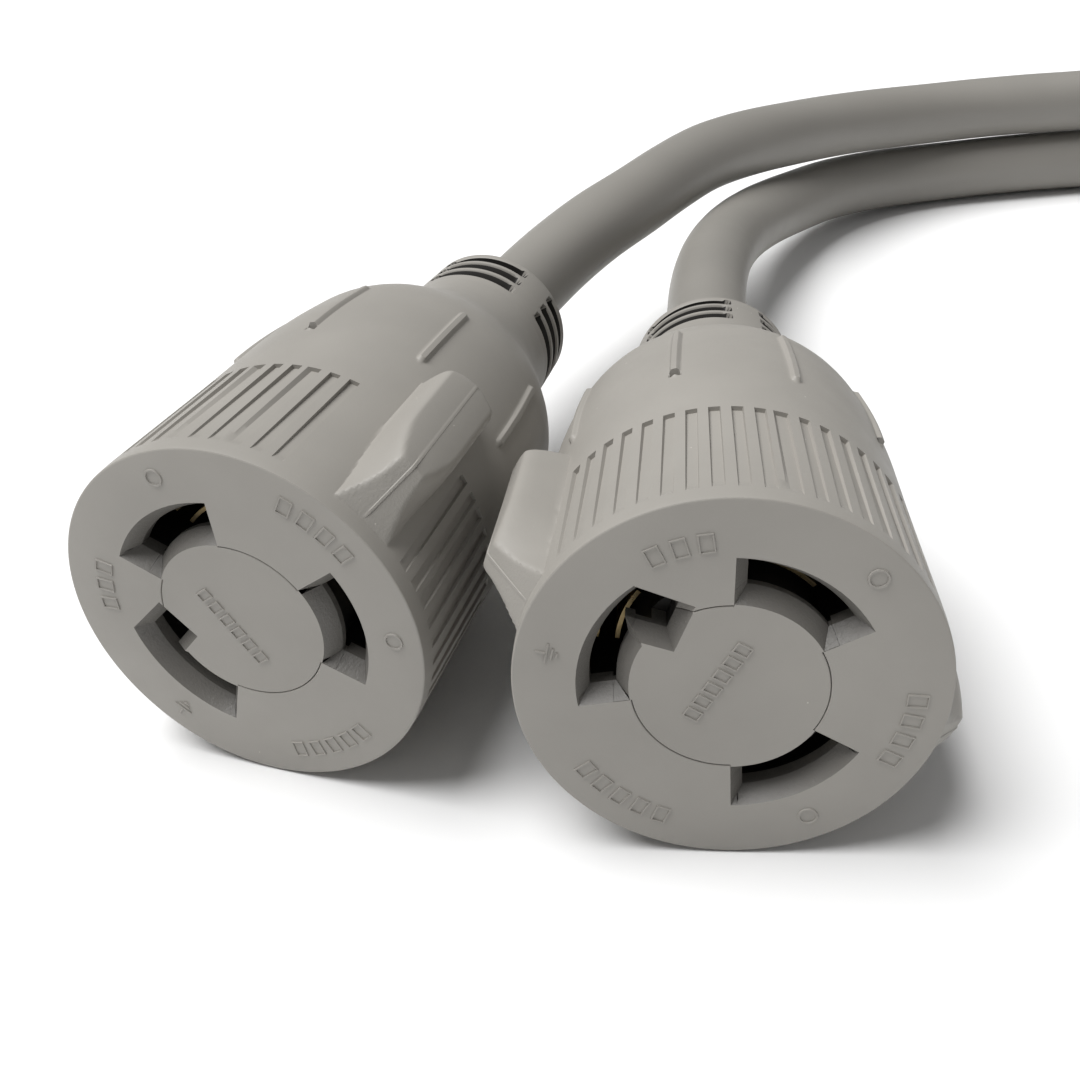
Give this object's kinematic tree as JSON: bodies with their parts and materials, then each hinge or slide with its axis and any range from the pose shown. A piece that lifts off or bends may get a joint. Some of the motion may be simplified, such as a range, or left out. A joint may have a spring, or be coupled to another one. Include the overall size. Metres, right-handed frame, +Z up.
{
  "type": "y cord adapter with locking connectors",
  "caption": "Y power adapter: a locking plug with curved blades feeds a pair of round moulded locking connectors through two heavy flexible cords.",
  "frame": {"origin": "middle of the base of the box round the two connectors and the plug as they lie", "axes": "+X along the plug's axis, out of its mating face; +Y away from the connectors' mating faces; +Z up from the surface it lies on"},
  "size_m": [0.4652, 0.2987, 0.0571],
  "materials": {
    "moulded_pvc": "satin moulded grain",
    "carrier_pvc": "satin",
    "cord_jacket": "satin",
    "contact_brass": "bright stamped",
    "blade_brass": "bright stamped",
    "wire_black": "satin",
    "wire_white": "satin",
    "wire_green": "satin"
  },
  "bodies": {
    "root": {"connector_a_contact_carrier": "carrier_pvc", "connector_a_cord_end": "cord_jacket", "connector_a_g_contact": "contact_brass", "connector_a_g_wire": "wire_green", "connector_a_moulded_body": "moulded_pvc", "connector_a_strain_relief": "moulded_pvc", "connector_a_x_contact": "contact_brass", "connector_a_x_wire": "wire_black", "connector_a_y_contact": "contact_brass", "connector_a_y_wire": "wire_white", "connector_b_contact_carrier": "carrier_pvc", "connector_b_cord_end": "cord_jacket", "connector_b_g_contact": "contact_brass", "connector_b_g_wire": "wire_green", "connector_b_moulded_body": "moulded_pvc", "connector_b_strain_relief": "moulded_pvc", "connector_b_x_contact": "contact_brass", "connector_b_x_wire": "wire_black", "connector_b_y_contact": "contact_brass", "connector_b_y_wire": "wire_white", "cord_a": "cord_jacket", "cord_b": "cord_jacket", "plug_blade_carrier": "carrier_pvc", "plug_g_blade": "blade_brass", "plug_lower_cord_end": "cord_jacket", "plug_lower_strain_relief": "moulded_pvc", "plug_moulded_body": "moulded_pvc", "plug_upper_cord_end": "cord_jacket", "plug_upper_strain_relief": "moulded_pvc", "plug_x_blade": "blade_brass", "plug_y_blade": "blade_brass"},
    "connector_a_x_leaf": {"connector_a_x_spring_leaf": "contact_brass"},
    "connector_a_y_leaf": {"connector_a_y_spring_leaf": "contact_brass"},
    "connector_a_g_leaf": {"connector_a_g_spring_leaf": "contact_brass"},
    "connector_b_x_leaf": {"connector_b_x_spring_leaf": "contact_brass"},
    "connector_b_y_leaf": {"connector_b_y_spring_leaf": "contact_brass"},
    "connector_b_g_leaf": {"connector_b_g_spring_leaf": "contact_brass"}
  },
  "joints": [
    {"name": "connector_a_x_leaf_flex", "type": "hinge", "parent": "root", "child": "connector_a_x_leaf", "pos_m": [-0.20748, -0.09965, 0.04369], "axis": [-0.7533, 0.3223, -0.5733], "range_deg": [0, 2.5], "stiffness_Nm_per_rad": 0.05},
    {"name": "connector_a_y_leaf_flex", "type": "hinge", "parent": "root", "child": "connector_a_y_leaf", "pos_m": [-0.18162, -0.10963, 0.0314], "axis": [-0.1271, 0.0175, 0.9917], "range_deg": [0, 2.5], "stiffness_Nm_per_rad": 0.05},
    {"name": "connector_a_g_leaf_flex", "type": "hinge", "parent": "root", "child": "connector_a_g_leaf", "pos_m": [-0.20931, -0.098, 0.01665], "axis": [0.6666, -0.2441, -0.7043], "range_deg": [0, 2.5], "stiffness_Nm_per_rad": 0.05},
    {"name": "connector_b_x_leaf_flex", "type": "hinge", "parent": "root", "child": "connector_b_x_leaf", "pos_m": [-0.12784, -0.12386, 0.04306], "axis": [-0.8421, 0.1085, 0.5283], "range_deg": [0, 2.5], "stiffness_Nm_per_rad": 0.05},
    {"name": "connector_b_y_leaf_flex", "type": "hinge", "parent": "root", "child": "connector_b_y_leaf", "pos_m": [-0.12836, -0.12452, 0.01275], "axis": [0.8596, -0.086, 0.5036], "range_deg": [0, 2.5], "stiffness_Nm_per_rad": 0.05},
    {"name": "connector_b_g_leaf_flex", "type": "hinge", "parent": "root", "child": "connector_b_g_leaf", "pos_m": [-0.1535, -0.12114, 0.03458], "axis": [-0.3698, 0.0201, -0.9289], "range_deg": [0, 2.5], "stiffness_Nm_per_rad": 0.05}
  ]
}
